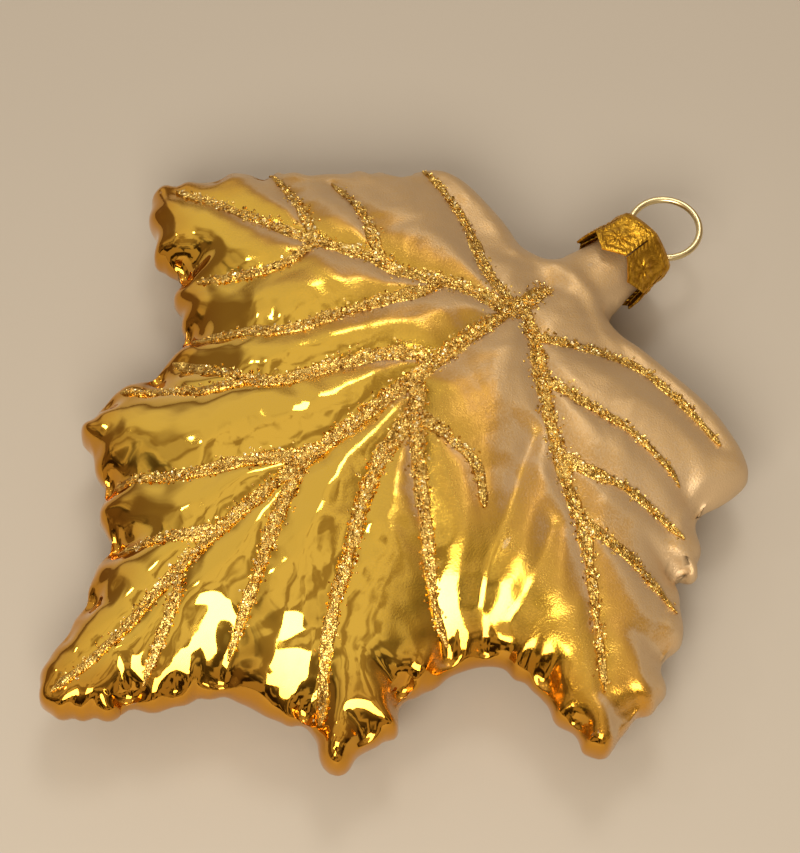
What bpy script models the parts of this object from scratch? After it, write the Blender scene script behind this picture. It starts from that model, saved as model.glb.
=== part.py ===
"""A currant leaf in blown glass, made to hang on a tree.

One hollow glass body with its leaf teeth and sunk veins, beads of glitter glued along the veins of
its front, a stamped cap pushed over the open neck, and a wire loop sprung into the neck through it.
The leaf lies on its back. x runs across it, y along the midrib towards the loop, z out of its front.
All sizes below are in millimetres.
"""

import math

import bmesh
import bpy
import numpy as np
from mathutils import Vector
from mathutils.geometry import delaunay_2d_cdt

MM = 0.001

# The glass body
SEAM_HEIGHT = 7.5
WALL = 0.9
RIM_RADIUS = 3.6
FRONT_RIM = 5.5
FRONT_DOME = 8.0
FRONT_REACH = 11.0
FRONT_FADE_FROM = 8.0
FRONT_FADE = 8.0
BACK_RIM = 3.6
BACK_DOME = 4.83
BACK_REACH = 14.0
GROOVE_LENGTH = 3.0
GROOVE_STRENGTH = 1.4
GROOVE_ROUNDING = 0.4
GROOVE_TAPER = 0.35
GROOVE_SHARPNESS = 6
GROOVE_FADE = 5.0
BACK_VEIN_SHARE = 0.5
BACK_VEINS_END = 15.0
BACK_VEINS_FADE = 6.0
SOFTEN_FROM = 0.8
SOFTEN_OVER = 1.6

# The folds that run in from the notches between the teeth
NOTCH_SPAN = 2.0
NOTCH_TURN = 0.25
FOLD_TOP = 8.0
FOLD_LENGTH = 7.5
FOLD_WIDTH = 1.2
FOLD_DEPTH = 3.0
FOLD_START = 1.2

# The neck, a tapering tube on its own axis
NECK_X = 1.0
NECK_LIP = 21.6
NECK_TOP_RADIUS = 4.3
NECK_FLARE = 1.9
NECK_FLARE_START = 20.5
NECK_FLARE_LENGTH = 12.0
NECK_STRAIGHT_END = 11.0
NECK_SINK_END = -5.0
NECK_SINK_LENGTH = 12.0
NECK_VALLEY = 1.2
NECK_VALLEY_EDGE = 1.5

# The glitter bead
GLITTER_LIFT = 0.45
GLITTER_HEIGHT = 0.7

# The stamped cap
SHEET = 0.4
PETALS = 6
PETAL_TURN = math.radians(-8.2)
PETAL_BULGE = 0.08
SLIT_HALF_ANGLE = math.radians(1.2)
CROWN_TOP = 22.6
SLIT_TOP = 20.4
PETAL_CORNER = 16.2
PETAL_TIP = 14.5
CROWN_PROFILE = [(2.2, 22.6), (4, 22.6), (4.8, 22.4), (5.2, 21.8), (5.3, 20.4)]
PETAL_TIP_RADIUS = 5.9
WIRE_HOLE = 2.4
WIRE_HOLE_OFFSET = 3.25

# The wire loop
WIRE = 0.95
LOOP_OUTSIDE = 10.7
LOOP_CENTRE = 26.4
LOOP_LOWEST = math.radians(56)
LEG_BEND = (2.5, 20.8)
LEG_KNEE = (2.7, 15.5)
LEG_END = (4.1, 8.5)

# Mesh steps, and how near each other the points of the leaf's plan may lie
FINE_STEP = 0.5
VEIN_STEP = 1.5
RIM_STEP = 2.2
FRONT_STEP = 2.5
BACK_STEP = 4.0
NECK_STEP = 2.5
BEAD_STEP = 2.4
LEG_STEP = 1.2
LOOP_POINTS = 34
RIM_RINGS = (0.35, 1.3, 2.7)
FOLD_PLACES = (1.3, 2.7, 4.2, 5.7)
LIP_TURNS = (58, 33, 11, -11, -33, -58)
PETAL_SHARES = (-1, -0.5, 0, 0.5, 1)
PETAL_LEVELS = (0.02, 0.5, 1)
RING_KEPT = 0.93
CLOSEST_TO_RING = 0.3
CLOSEST_IN_GRID = 0.6

# The toothed edge at the seam, read round the leaf from the left of the neck
LEFT_SHOULDER = [
    (-5.6, 9.4), (-9, 8.6), (-14, 9.5), (-20.5, 10), (-24, 9.4), (-26.6, 8), (-28.6, 6),
    (-29.4, 4.2), (-31.5, 2.2), (-34.3, -1.2), (-37.3, -5.2),
]
LEFT_LOBE = [
    (-39.3, -6.9), (-41.2, -8.5), (-42, -10.5), (-44.2, -12.6), (-45.5, -14.2), (-45.9, -16),
    (-48.2, -20.2), (-49.8, -23), (-49.9, -24.8), (-48.8, -26.2), (-47, -27.5), (-44, -29.2),
    (-41.2, -31), (-39.3, -31.3), (-37.3, -30.6), (-35.8, -30.9), (-34.8, -32.5), (-33.4, -33.6),
    (-29.6, -35.2), (-28.1, -36.6), (-27.4, -38.8), (-25.9, -42.6),
]
LOWER_LEFT_LOBE = [
    (-26.6, -44.5), (-27.5, -46.3), (-27.8, -48.3), (-27.1, -50.8), (-27, -53), (-26.2, -55),
    (-24.8, -56.2), (-22.8, -56.5), (-20.6, -57), (-17, -58.4), (-15.8, -60), (-14.2, -61.4),
    (-12, -61.9), (-10, -62.3), (-9.4, -64), (-8.7, -66.2),
]
TIP_LOBE = [
    (-7, -68.2), (-5.6, -69.6), (-5, -72.5), (-3.6, -75), (-2.8, -78), (-1, -81), (1.4, -82.3),
    (3.6, -82), (5.5, -80.7), (7, -78.8), (8.6, -77), (9.2, -75.4), (9.3, -73.8), (11.6, -72),
    (12.6, -69), (13.6, -66.8), (15, -64.6),
]
LOWER_RIGHT_LOBE = [
    (17.4, -63.1), (20, -62.4), (22.5, -61.2), (24.6, -59.5), (26.8, -59.8), (29, -60.5),
    (31.3, -61), (32.8, -60.2), (33.3, -58.5), (33, -56.5), (32.6, -54.8), (33.3, -53),
    (33.4, -51.2), (32.6, -49.6), (31.3, -48), (31, -46.6), (31.8, -45), (32, -43.4), (31.7, -41),
]
RIGHT_LOBE = [
    (32.3, -39), (33.5, -37), (35.2, -36), (37.9, -35.2), (40.1, -34.4), (42, -34.7), (44.5, -35.4),
    (46.7, -35.1), (48.5, -35.5), (50.2, -35.7), (51.9, -34.6), (52.4, -32.8), (52.1, -30.6),
    (51.6, -28.4), (52, -26.5), (52.2, -24.6), (51.8, -23), (50.5, -21.6), (48.8, -20.1),
    (48.2, -18.8), (48.3, -17.2), (47.8, -15.7), (45.2, -13.3), (41.6, -10.9),
]
RIGHT_SHOULDER = [
    (42.3, -9.7), (42.6, -8.4), (42, -6.9), (40.7, -5.5), (39, -4.4), (37.6, -2.9), (37, -1.2),
    (37.5, 1.5), (37.7, 3.9), (37.3, 5.8), (36.4, 7.1), (34.9, 8.2), (32.6, 9), (28, 10.1),
    (24.5, 10.4), (19.5, 10.1), (14.2, 9.6), (10.6, 9), (7.6, 9.4),
]

# The veins: groove depth, glitter width at the root and at the end, and the route in plan.
# The two last have no glitter: they are folds of the glass beside the right lobe.
VEINS = {
    "midrib": (2.2, 2.4, 1.2, [
        (-0.3, 5), (0.5, -1), (0.8, -10), (0.8, -25), (0.8, -42), (0.8, -52), (1.2, -61),
        (2.2, -69), (2.4, -76), (2, -80.3)]),
    "tip_right": (1.2, 1.6, 0.9, [(1.1, -59.5), (3.9, -61.8), (6.5, -66.5), (9, -71.3)]),
    "tip_left": (1.2, 1.6, 0.9, [(0.8, -52), (-1, -55), (-5, -59.2), (-8, -62.5)]),
    "lower_left": (1.7, 2.1, 1.0, [
        (0.8, -36), (-0.5, -38.8), (-4.2, -44.2), (-7, -48.8), (-10, -52), (-14, -55), (-15.6, -57)]),
    "lower_right": (1.7, 2.1, 1.0, [
        (0.8, -39), (4.7, -46), (8.8, -52.7), (11.5, -57.7), (13.5, -61.5)]),
    "right_third": (2.0, 2.2, 1.2, [
        (0.8, -20), (4.5, -23), (7, -31), (10.4, -37), (14.4, -42.4), (18, -48), (22, -53),
        (27, -58)]),
    "right_fourth": (1.9, 2.1, 1.1, [(4.5, -23), (11.8, -28.7), (19, -33.7), (25, -37.8), (29.5, -39.5)]),
    "right_spur": (0.9, 1.7, 1.2, [(4.5, -23), (7.5, -23.2), (11, -22.9), (16.2, -23), (21, -26)]),
    "left_third": (1.9, 2.2, 1.1, [
        (0.5, -16), (-3.6, -19.5), (-6.3, -24.8), (-10, -32.8), (-13, -35.5), (-19.5, -38),
        (-25, -40)]),
    "left_third_fork": (1.3, 1.7, 0.9, [
        (-13.5, -35.7), (-16.8, -40.8), (-20.5, -43), (-23, -45.3), (-26, -48)]),
    "left_fourth": (1.6, 2.0, 0.9, [
        (-8, -7), (-8.5, -10.5), (-10.3, -15), (-13.5, -23), (-15.5, -27.5), (-20, -31.3),
        (-26, -36)]),
    "left_main": (2.0, 2.3, 1.2, [
        (0.5, -3), (-7, -6), (-13, -10.5), (-17, -11.8), (-24, -15.5), (-31, -18), (-40, -20.5),
        (-46.5, -22.5)]),
    "left_upper_fork": (1.3, 1.8, 0.9, [
        (-15, -11.2), (-18, -10.3), (-22, -8.4), (-27, -6.8), (-32.5, -6)]),
    "left_middle_fork": (1.3, 1.8, 0.9, [(-24, -15.5), (-28.3, -14.1), (-33.6, -12.2), (-40, -10.8)]),
    "left_lower_fork": (1.3, 1.8, 0.9, [
        (-24, -15.5), (-24, -20.8), (-26, -24.5), (-29.5, -27.5), (-32.5, -30)]),
    "left_shoulder": (1.6, 2.0, 1.0, [
        (0.3, -1.5), (-3, -1.5), (-7.5, -0.2), (-14, 3), (-20, 4.7), (-27, 6)]),
    "right_main": (2.1, 2.3, 1.2, [
        (0.5, -0.5), (6.8, -4), (11.5, -7.5), (17, -11), (23.5, -14.8), (31, -18.2), (36.5, -21.8),
        (41.5, -25.3), (47, -29.3)]),
    "right_shoulder": (1.5, 1.9, 0.9, [
        (5, -3), (7, -2), (10, 1), (13, 3.8), (17, 5.8), (23, 6.3), (32, 5.7)]),
    "right_upper_fork": (1.3, 1.8, 0.8, [
        (11, -7.2), (16.9, -5.9), (23, -3.9), (30.5, -2.7), (33, -2.8)]),
    "right_middle_fork": (1.3, 1.8, 0.8, [(21, -13.6), (25, -12.3), (30.9, -9), (38.5, -7.2)]),
    "right_lower_fork": (1.3, 1.8, 0.8, [(29.5, -17.6), (33.3, -16.2), (38, -15), (45, -14.7)]),
    "inner_fold": (1.9, 0, 0, [(17, -13.8), (20.2, -19.5), (23.5, -24.6), (26.2, -30), (29, -34)]),
    "outer_fold": (1.4, 0, 0, [(27.9, -20.8), (30.1, -24.4), (31.5, -28), (32.5, -32)]),
}


def smooth_step(edge, value):
    t = np.clip(value / edge, 0, 1)
    return t * t * (3 - 2 * t)


def smooth_route(points, step):
    """A Catmull-Rom curve through the points, as an array with about step between its points."""
    points = np.array(points, float)
    ends = np.vstack([points[:1], points, points[-1:]])
    route = []
    for before, start, end, after in zip(ends, ends[1:], ends[2:], ends[3:]):
        pieces = max(round(float(np.linalg.norm(end - start)) / step), 1)
        for t in np.arange(pieces) / pieces:
            route.append(
                start
                + (end - before) * t / 2
                + (2 * before - 5 * start + 4 * end - after) * t**2 / 2
                + (3 * start - before - 3 * end + after) * t**3 / 2
            )
    return np.vstack([route, points[-1:]])


def evenly(route, step):
    """The same route with its points at equal distances."""
    along = np.concatenate([[0], np.cumsum(np.linalg.norm(np.diff(route, axis=0), axis=1))])
    marks = np.linspace(0, along[-1], max(round(along[-1] / step), 1) + 1)
    return np.column_stack([np.interp(marks, along, route[:, axis]) for axis in (0, 1)])


def distance_to_route(points, route):
    """The distance of each point to a route, and how far along it the nearest place is, 0 to 1."""
    start, run = route[:-1], np.diff(route, axis=0)
    length = np.linalg.norm(run, axis=1)
    offset = points[:, None] - start
    share = np.clip((offset * run).sum(2) / length**2, 0, 1)
    gap = np.linalg.norm(offset - share[:, :, None] * run, axis=2)
    nearest = gap.argmin(axis=1)
    rows = np.arange(len(points))
    along = np.concatenate([[0], np.cumsum(length)])
    place = (along[nearest] + share[rows, nearest] * length[nearest]) / along[-1]
    return gap[rows, nearest], place


def neck_radius(y):
    t = np.clip((NECK_FLARE_START - y) / NECK_FLARE_LENGTH, 0, 1.1)
    return NECK_TOP_RADIUS + NECK_FLARE * t**2


def edge_route(step, neck_end):
    """The outline at the seam, from the left end of the neck round the leaf to its right end."""
    neck = np.arange(neck_end, NECK_STRAIGHT_END, -NECK_STEP)
    left = [(NECK_X - neck_radius(y), y) for y in neck]
    right = [(NECK_X + neck_radius(y), y) for y in neck[::-1]]
    leaf = LEFT_SHOULDER + LEFT_LOBE + LOWER_LEFT_LOBE + TIP_LOBE
    leaf += LOWER_RIGHT_LOBE + RIGHT_LOBE + RIGHT_SHOULDER
    return evenly(smooth_route(left + leaf + right, step / 4), step)


FINE_EDGE = edge_route(FINE_STEP, NECK_LIP + NECK_FLARE_LENGTH)


def notch_folds():
    """A short fold running inward from each notch between two teeth: its ends and its sharpness."""
    reach = round(NOTCH_SPAN / FINE_STEP)
    before, here, after = FINE_EDGE[:-2 * reach], FINE_EDGE[reach:-reach], FINE_EDGE[2 * reach:]
    into, out_of = here - before, after - here
    cross = into[:, 0] * out_of[:, 1] - into[:, 1] * out_of[:, 0]
    turns = np.arctan2(cross, (into * out_of).sum(1))
    folds = []
    for index in range(reach, len(turns) - reach):
        sharpest = turns[index] == turns[index - reach:index + reach + 1].min()
        if turns[index] < -NOTCH_TURN and sharpest and here[index][1] < FOLD_TOP:
            chord = after[index] - before[index]
            inward = np.array([-chord[1], chord[0]]) / np.linalg.norm(chord)
            sharpness = min(math.sqrt(-turns[index]), 1)
            folds.append((here[index], here[index] + inward * FOLD_LENGTH * sharpness, sharpness))
    return folds


FOLDS = notch_folds()


def depth_inside(points):
    """How far inside the edge a point lies: exact near it, and softened where lobes meet."""
    exact, _ = distance_to_route(points, FINE_EDGE)
    square = ((points[:, None] - FINE_EDGE) ** 2).sum(2)
    spacing = np.linalg.norm(FINE_EDGE[1] - FINE_EDGE[0])
    total = (spacing / np.maximum(square, 1e-3) ** 2).sum(1)
    soft = (2 * total / math.pi) ** (-1 / 3)
    return exact + (soft - exact) * smooth_step(SOFTEN_OVER, exact - SOFTEN_FROM)


def groove_depth(points):
    """The depth of the vein grooves, which run into each other without doubling."""
    total = np.zeros(len(points))
    for depth, _, _, route in VEINS.values():
        gap, place = distance_to_route(points, smooth_route(route, VEIN_STEP))
        away = np.hypot(gap, GROOVE_ROUNDING) - GROOVE_ROUNDING
        total += (depth * (1 - GROOVE_TAPER * place) * np.exp(-away / GROOVE_LENGTH)) ** GROOVE_SHARPNESS
    return GROOVE_STRENGTH * total ** (1 / GROOVE_SHARPNESS)


def fold_depth(points):
    """How deep the folds sink into the rim of the front."""
    deepest = np.zeros(len(points))
    for start, end, sharpness in FOLDS:
        gap, place = distance_to_route(points, np.array([start, end]))
        depth = FOLD_DEPTH * sharpness * np.exp(-gap / FOLD_WIDTH) * (1 - smooth_step(1, place))
        deepest = np.maximum(deepest, depth)
    return deepest


def neck_height(points):
    """Half the neck's round section above the seam, sinking into the body under the shoulders."""
    x, y = points.T
    section = np.sqrt(np.maximum(neck_radius(y) ** 2 - (x - NECK_X) ** 2, 0))
    return section * smooth_step(NECK_SINK_LENGTH, y - NECK_SINK_END)


def joined(first, second, depth):
    """The higher of two heights, with a soft valley between them that ends at the edge."""
    soft = NECK_VALLEY * (1 - np.exp(-depth / NECK_VALLEY_EDGE))
    return (first + second + np.hypot(first - second, soft) - soft) / 2


def rim_height(depth):
    return np.sqrt(1 - (1 - np.minimum(depth / RIM_RADIUS, 1)) ** 2)


def groove_fade(depth):
    t = np.minimum(depth / GROOVE_FADE, 1)
    return t * (2 - t)


def front_height(points):
    depth = depth_inside(points)
    height = FRONT_RIM * rim_height(depth) + FRONT_DOME * (1 - np.exp(-((depth / FRONT_REACH) ** 2)))
    height *= 1 - smooth_step(FRONT_FADE, points[:, 1] - FRONT_FADE_FROM)
    height = joined(height, neck_height(points), depth)
    sunk = groove_fade(depth) * groove_depth(points) + smooth_step(FOLD_START, depth) * fold_depth(points)
    return SEAM_HEIGHT + height - sunk


def back_height(points):
    """The flatter back. It is cut off at z = 0, which leaves the small flat spot that it lies on."""
    depth = depth_inside(points)
    height = BACK_RIM * rim_height(depth) + BACK_DOME * (1 - np.exp(-((depth / BACK_REACH) ** 2)))
    height = joined(height, neck_height(points), depth)
    fade = BACK_VEIN_SHARE * groove_fade(depth) * smooth_step(BACK_VEINS_FADE, BACK_VEINS_END - depth)
    return np.maximum(SEAM_HEIGHT - height + fade * groove_depth(points), 0)


def material(name, colour, roughness, metallic):
    made = bpy.data.materials.new(name)
    made.use_nodes = True
    shader = made.node_tree.nodes["Principled BSDF"]
    shader.inputs["Base Color"].default_value = (*colour, 1)
    shader.inputs["Roughness"].default_value = roughness
    shader.inputs["Metallic"].default_value = metallic
    made.diffuse_color = (*colour, 1)
    return made


def add_object(name, data, finish):
    made = bpy.data.objects.new(name, data)
    bpy.context.scene.collection.objects.link(made)
    data.materials.append(finish)
    return made


def mesh_from(bm, name):
    mesh = bpy.data.meshes.new(name)
    bm.to_mesh(mesh)
    bm.free()
    return mesh


def round_off(obj, sharp_angle):
    obj.data.shade_smooth()
    obj.data.set_sharp_from_angle(angle=math.radians(sharp_angle))


def apply_modifiers(obj):
    """Bakes the object's modifiers into its mesh."""
    graph = bpy.context.evaluated_depsgraph_get()
    graph.update()
    baked = bpy.data.meshes.new_from_object(obj.evaluated_get(graph), depsgraph=graph)
    obj.modifiers.clear()
    obj.data = baked


def lip_points():
    """Points across the open end of the neck, between the two ends of the edge."""
    turns = np.radians(LIP_TURNS)
    return np.column_stack([NECK_X + NECK_TOP_RADIUS * np.sin(turns), np.full(len(turns), NECK_LIP)])


def rim_rings(edge):
    """Rows of points inside the edge, close to it where the glass turns over most."""
    along = np.gradient(edge, axis=0)
    inward = np.column_stack([-along[:, 1], along[:, 0]])
    inward /= np.linalg.norm(inward, axis=1)[:, None]
    for inset in RIM_RINGS:
        ring = (edge + inward * inset)[1:-1]
        kept, _ = distance_to_route(ring, FINE_EDGE)
        yield ring[kept > RING_KEPT * inset]


def grid_points(edge, step):
    """A triangular grid over the leaf, clear of the rings."""
    low, high = edge.min(axis=0), edge.max(axis=0)
    rows = np.arange(low[1], high[1], step * math.sqrt(3) / 2)
    points = []
    for index, y in enumerate(rows):
        for x in np.arange(low[0] + step / 2 * (index % 2), high[0], step):
            points.append((x, y))
    points = np.array(points)
    gap, _ = distance_to_route(points, edge)
    return points[gap > RIM_RINGS[-1] + step * (1 - CLOSEST_IN_GRID)]


def vein_points(step):
    """Points along the floor of each groove, dropped where they would crowd an earlier one."""
    kept = np.empty((0, 2))
    for _, _, _, route in VEINS.values():
        for point in evenly(smooth_route(route, step / 3), step):
            if not len(kept) or np.linalg.norm(kept - point, axis=1).min() > step * CLOSEST_IN_GRID:
                kept = np.vstack([kept, point])
    return kept


def fold_points():
    """Points along the floor of each fold."""
    spots = []
    for start, end, _ in FOLDS:
        length = np.linalg.norm(end - start)
        spots += [start + (end - start) * place / length for place in FOLD_PLACES if place < length]
    return np.array(spots)


def far_from(points, others, gap):
    nearest = np.linalg.norm(points[:, None] - others, axis=2).min(axis=1)
    return points[nearest > gap]


def sheet(edge, step, folded):
    """A triangulated plan of the leaf: its points, and its triangles turned to face up."""
    boundary = np.vstack([edge, lip_points()])
    grooves = vein_points(step)
    gap, _ = distance_to_route(grooves, edge)
    grooves = grooves[gap > RIM_RINGS[-1]]
    if folded:
        folds = far_from(fold_points(), grooves, step * CLOSEST_TO_RING)
        gap, _ = distance_to_route(folds, edge)
        grooves = np.vstack([grooves, folds[gap > step * CLOSEST_TO_RING]])
    rings = far_from(np.vstack(list(rim_rings(edge))), grooves, step * CLOSEST_TO_RING)
    grid = far_from(grid_points(edge, step), grooves, step * CLOSEST_IN_GRID)
    plan = np.vstack([boundary, rings, grooves, grid])
    loop = list(range(len(boundary)))
    found = delaunay_2d_cdt([Vector(point) for point in plan], [], [loop], 1, 1e-4)
    points = np.array([tuple(point) for point in found[0]])
    used = sorted({corner for face in found[2] for corner in face})
    number = {corner: index for index, corner in enumerate(used)}
    triangles = []
    for face in found[2]:
        upward = face if turn(points, face) > 0 else face[::-1]
        triangles.append([number[corner] for corner in upward])
    return points[used], triangles


def turn(points, face):
    (ax, ay), (bx, by), (cx, cy) = (points[corner] for corner in face)
    return (bx - ax) * (cy - ay) - (by - ay) * (cx - ax)


def make_glass_leaf():
    """Front and back sheets sewn together along the seam, open at the neck, given the wall inwards."""
    edge = edge_route(RIM_STEP, NECK_LIP)
    bm = bmesh.new()
    seam = {}
    for height, step, front in ((front_height, FRONT_STEP, True), (back_height, BACK_STEP, False)):
        points, triangles = sheet(edge, step, folded=front)
        levels = height(points)
        on_edge = np.linalg.norm(points[:, None] - edge, axis=2).argmin(axis=1)
        on_seam = np.linalg.norm(points - edge[on_edge], axis=1) < 1e-3
        corners = []
        for point, level, nearest, is_seam in zip(points, levels, on_edge, on_seam):
            if is_seam and nearest in seam:
                corners.append(seam[nearest])
                continue
            if is_seam:
                level = SEAM_HEIGHT
            corner = bm.verts.new((point[0] * MM, point[1] * MM, level * MM))
            corners.append(corner)
            if is_seam:
                seam[nearest] = corner
        for triangle in triangles:
            order = triangle if front else triangle[::-1]
            bm.faces.new([corners[index] for index in order])
    leaf = add_object("glass_leaf", mesh_from(bm, "glass_leaf"), material(
        "gilded_glass", (0.55, 0.33, 0.07), 0.15, 0.9))
    wall = leaf.modifiers.new("wall", "SOLIDIFY")
    wall.thickness = WALL * MM
    wall.offset = -1
    round_off(leaf, 60)
    return leaf


def glitter_bead(name, width_at_root, width_at_end, route):
    """One bead along a vein: four corners at each step, the lower two just over the glass."""
    route = evenly(smooth_route(route, BEAD_STEP / 3), BEAD_STEP)
    along = np.gradient(route, axis=0)
    across = np.column_stack([-along[:, 1], along[:, 0]])
    across /= np.linalg.norm(across, axis=1)[:, None]
    half = np.linspace(width_at_root, width_at_end, len(route))[:, None] / 2
    bm = bmesh.new()
    rows = []
    for share, lift in ((-1, 0), (-0.5, GLITTER_HEIGHT), (0.5, GLITTER_HEIGHT), (1, 0)):
        plan = route + across * half * share
        base = front_height(route + across * half * (1 if share > 0 else -1))
        level = base + GLITTER_LIFT + lift
        rows.append([bm.verts.new((x * MM, y * MM, z * MM)) for (x, y), z in zip(plan, level)])
    for index in range(len(route) - 1):
        for side in range(4):
            low, high = rows[side], rows[(side + 1) % 4]
            bm.faces.new((low[index], low[index + 1], high[index + 1], high[index]))
    bm.faces.new([row[0] for row in rows])
    bm.faces.new([row[-1] for row in reversed(rows)])
    bmesh.ops.triangulate(bm, faces=bm.faces)
    bmesh.ops.recalc_face_normals(bm, faces=bm.faces)
    return bpy.data.objects.new(name, mesh_from(bm, name))


def make_glitter(finish):
    """All the beads on the front, joined into one branching line of glitter."""
    helpers = bpy.data.collections.new("glitter_helpers")
    bpy.context.scene.collection.children.link(helpers)
    beads = []
    for name, (_, width_at_root, width_at_end, route) in VEINS.items():
        if width_at_root:
            beads.append(glitter_bead(name, width_at_root, width_at_end, route))
    midrib, others = beads[0], beads[1:]
    bpy.context.scene.collection.objects.link(midrib)
    for bead in others:
        helpers.objects.link(bead)
    join = midrib.modifiers.new("join", "BOOLEAN")
    join.operation = "UNION"
    join.operand_type = "COLLECTION"
    join.collection = helpers
    apply_modifiers(midrib)
    for bead in others:
        bpy.data.objects.remove(bead)
    bpy.data.collections.remove(helpers)
    midrib.name = "glitter_veins"
    midrib.data.materials.clear()
    midrib.data.materials.append(finish)
    return midrib


def petal_corner(radius, y, angle, petal):
    """A point of the cap's sheet, at an angle from the middle of its petal."""
    bulged = radius * (1 + PETAL_BULGE * (angle * PETALS / math.pi) ** 2)
    around = PETAL_TURN + petal * 2 * math.pi / PETALS + angle
    x = NECK_X + bulged * math.sin(around)
    z = SEAM_HEIGHT + bulged * math.cos(around)
    return x * MM, y * MM, z * MM


def make_cap(finish):
    """A crown disc turned down into six petals, slit apart below and pointed at their ends."""
    bm = bmesh.new()
    half = math.pi / PETALS
    middle = bm.verts.new((NECK_X * MM, CROWN_TOP * MM, SEAM_HEIGHT * MM))
    for petal in range(PETALS):
        rows = []
        for radius, y in CROWN_PROFILE:
            row = [petal_corner(radius, y, share * half, petal) for share in PETAL_SHARES]
            rows.append([bm.verts.new(corner) for corner in row])
        free = half - SLIT_HALF_ANGLE
        for level in PETAL_LEVELS:
            row = []
            for share in PETAL_SHARES:
                end = PETAL_TIP + (PETAL_CORNER - PETAL_TIP) * abs(share)
                y = SLIT_TOP + (end - SLIT_TOP) * level
                radius = CROWN_PROFILE[-1][0] + (PETAL_TIP_RADIUS - CROWN_PROFILE[-1][0]) * level**1.5
                row.append(bm.verts.new(petal_corner(radius, y, share * free, petal)))
            rows.append(row)
        for upper, lower in zip(rows, rows[1:]):
            for index in range(len(PETAL_SHARES) - 1):
                bm.faces.new((upper[index], upper[index + 1], lower[index + 1], lower[index]))
        for index in range(len(PETAL_SHARES) - 1):
            bm.faces.new((middle, rows[0][index + 1], rows[0][index]))
    bmesh.ops.remove_doubles(bm, verts=bm.verts, dist=0.01 * MM)
    bmesh.ops.recalc_face_normals(bm, faces=bm.faces)
    cap = add_object("cap", mesh_from(bm, "cap"), finish)
    sheet_metal = cap.modifiers.new("sheet", "SOLIDIFY")
    sheet_metal.thickness = SHEET * MM
    sheet_metal.offset = -1
    for side in (-1, 1):
        cut = cap.modifiers.new("wire_hole", "BOOLEAN")
        cut.operation = "DIFFERENCE"
        cut.object = wire_hole_cutter(side)
    return cap


def wire_hole_cutter(side):
    bm = bmesh.new()
    bmesh.ops.create_cone(
        bm, cap_ends=True, segments=16, radius1=WIRE_HOLE / 2 * MM, radius2=WIRE_HOLE / 2 * MM,
        depth=3 * MM)
    cutter = bpy.data.objects.new("wire_hole_cutter", mesh_from(bm, "wire_hole_cutter"))
    bpy.context.scene.collection.objects.link(cutter)
    cutter.location = ((NECK_X + side * WIRE_HOLE_OFFSET) * MM, CROWN_TOP * MM, SEAM_HEIGHT * MM)
    cutter.rotation_euler = (math.pi / 2, 0, 0)
    cutter.hide_render = True
    cutter.display_type = "WIRE"
    return cutter


def hanger_route():
    """The wire's middle line in the seam plane: a leg, the loop, and the other leg."""
    radius = (LOOP_OUTSIDE - WIRE) / 2
    turns = np.linspace(-LOOP_LOWEST, math.pi + LOOP_LOWEST, LOOP_POINTS)
    loop = [(radius * math.cos(turn), LOOP_CENTRE + radius * math.sin(turn)) for turn in turns]
    leg = smooth_route([loop[0], LEG_BEND, LEG_KNEE, LEG_END], LEG_STEP)[1:]
    right = [tuple(point) for point in leg[::-1]]
    left = [(-x, y) for x, y in leg]
    return right + loop + left


def make_hanger(finish):
    curve = bpy.data.curves.new("hanger", "CURVE")
    curve.dimensions = "3D"
    curve.bevel_depth = WIRE / 2 * MM
    curve.bevel_resolution = 2
    curve.use_fill_caps = True
    spline = curve.splines.new("POLY")
    route = hanger_route()
    spline.points.add(len(route) - 1)
    for point, (x, y) in zip(spline.points, route):
        point.co = ((NECK_X + x) * MM, y * MM, SEAM_HEIGHT * MM, 1)
    spline.use_smooth = True
    return add_object("hanger", curve, finish)


def stand_on_origin(pieces):
    """Parents the pieces to an empty and moves it, so their common box stands on the origin."""
    graph = bpy.context.evaluated_depsgraph_get()
    graph.update()
    corners = []
    for piece in pieces:
        shown = piece.evaluated_get(graph)
        corners += [shown.matrix_world @ vertex.co for vertex in shown.to_mesh().vertices]
        shown.to_mesh_clear()
    corners = np.array(corners)
    low, high = corners.min(axis=0), corners.max(axis=0)
    leaf_frame = bpy.data.objects.new("leaf_frame", None)
    bpy.context.scene.collection.objects.link(leaf_frame)
    helpers = [obj for obj in bpy.context.scene.objects if obj.hide_render]
    for obj in pieces + helpers:
        obj.parent = leaf_frame
    leaf_frame.location = (-(low[0] + high[0]) / 2, -(low[1] + high[1]) / 2, -low[2])


def main():
    for obj in list(bpy.data.objects):
        bpy.data.objects.remove(obj)
    brass = material("stamped_brass", (0.55, 0.33, 0.05), 0.3, 1)
    pale_wire = material("brassed_wire", (0.72, 0.6, 0.33), 0.25, 1)
    glitter = material("gold_glitter", (0.6, 0.38, 0.1), 0.4, 0.8)
    stand_on_origin([make_glass_leaf(), make_glitter(glitter), make_cap(brass), make_hanger(pale_wire)])


main()
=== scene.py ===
"""The looks of a blown glass currant leaf: gilded, half lacquered, its veins drawn in glitter."""

import math

import bmesh
import bpy
import numpy as np
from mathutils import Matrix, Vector
from mathutils.bvhtree import BVHTree
from mathutils.geometry import delaunay_2d_cdt


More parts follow.
